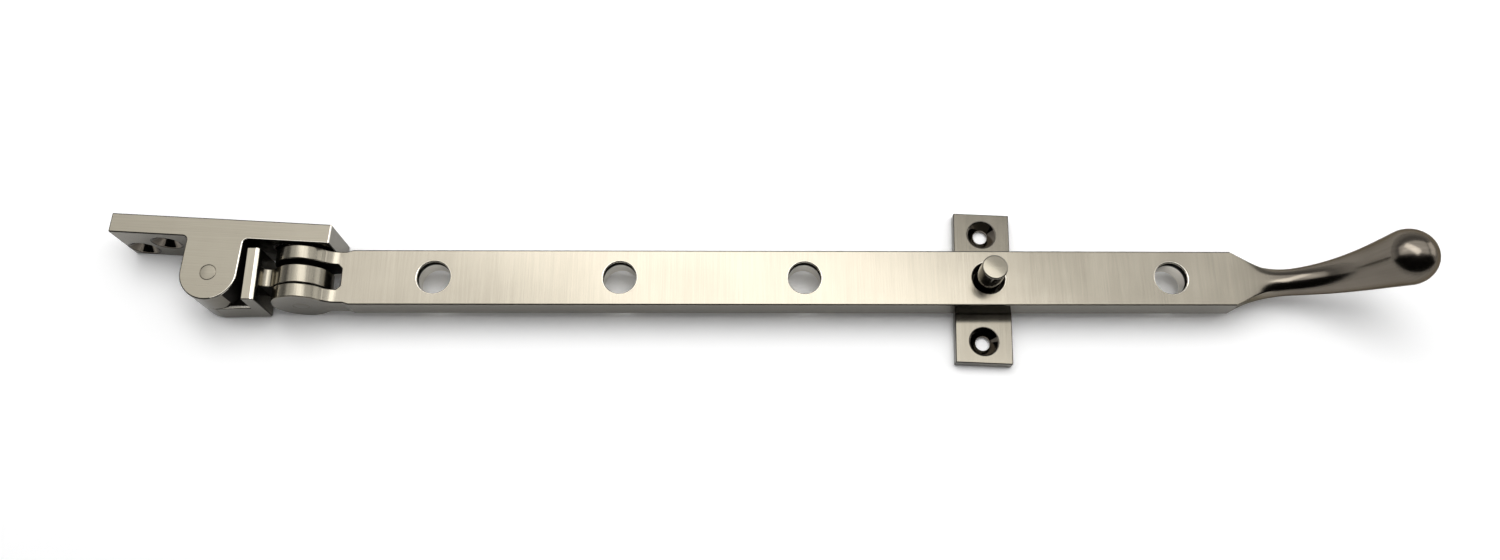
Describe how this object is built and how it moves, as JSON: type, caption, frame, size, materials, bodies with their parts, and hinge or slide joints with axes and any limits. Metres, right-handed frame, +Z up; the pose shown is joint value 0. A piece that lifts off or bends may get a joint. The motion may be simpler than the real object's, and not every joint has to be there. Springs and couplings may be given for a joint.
{
  "type": "casement stay",
  "caption": "Bulb-end casement stay: a flat peg-holed arm that swings and lifts on a sash bracket and drops over a peg on its plate.",
  "frame": {"origin": "centre of the peg plate's underside, on the axis of the peg", "axes": "+X along the arm from the fork to the handle, +Z up from the sill through the peg, +Y towards the sash that the bracket is screwed to"},
  "size_m": [0.3355, 0.0426, 0.034],
  "materials": {
    "satin_nickel": "satin nickel, brushed",
    "polished_nickel": "buffed nickel on the handle",
    "pin_nickel": "satin nickel, flush riveted pin ends"
  },
  "bodies": {
    "bracket": {"sash_bracket": "satin_nickel", "bracket_pin": "pin_nickel"},
    "swivel_link": {"swivel": "satin_nickel"},
    "arm": {"stay_arm": "satin_nickel", "fork_pin": "pin_nickel"},
    "keeper": {"peg_plate": "satin_nickel", "locating_peg": "satin_nickel"}
  },
  "joints": [
    {"name": "swing", "type": "hinge", "parent": "bracket", "child": "swivel_link", "pos_m": [-0.1996, -0.0006, 0.008], "axis": [0, 0, -1], "range_deg": [0, 185]},
    {"name": "lift", "type": "hinge", "parent": "swivel_link", "child": "arm", "pos_m": [-0.178, 0, 0.008], "axis": [0, -1, 0], "range_deg": [0, 90]},
    {"name": "unseat", "type": "slide", "parent": "arm", "child": "keeper", "axis": [0, 0, -1], "range_m": [0, 0.02]}
  ]
}
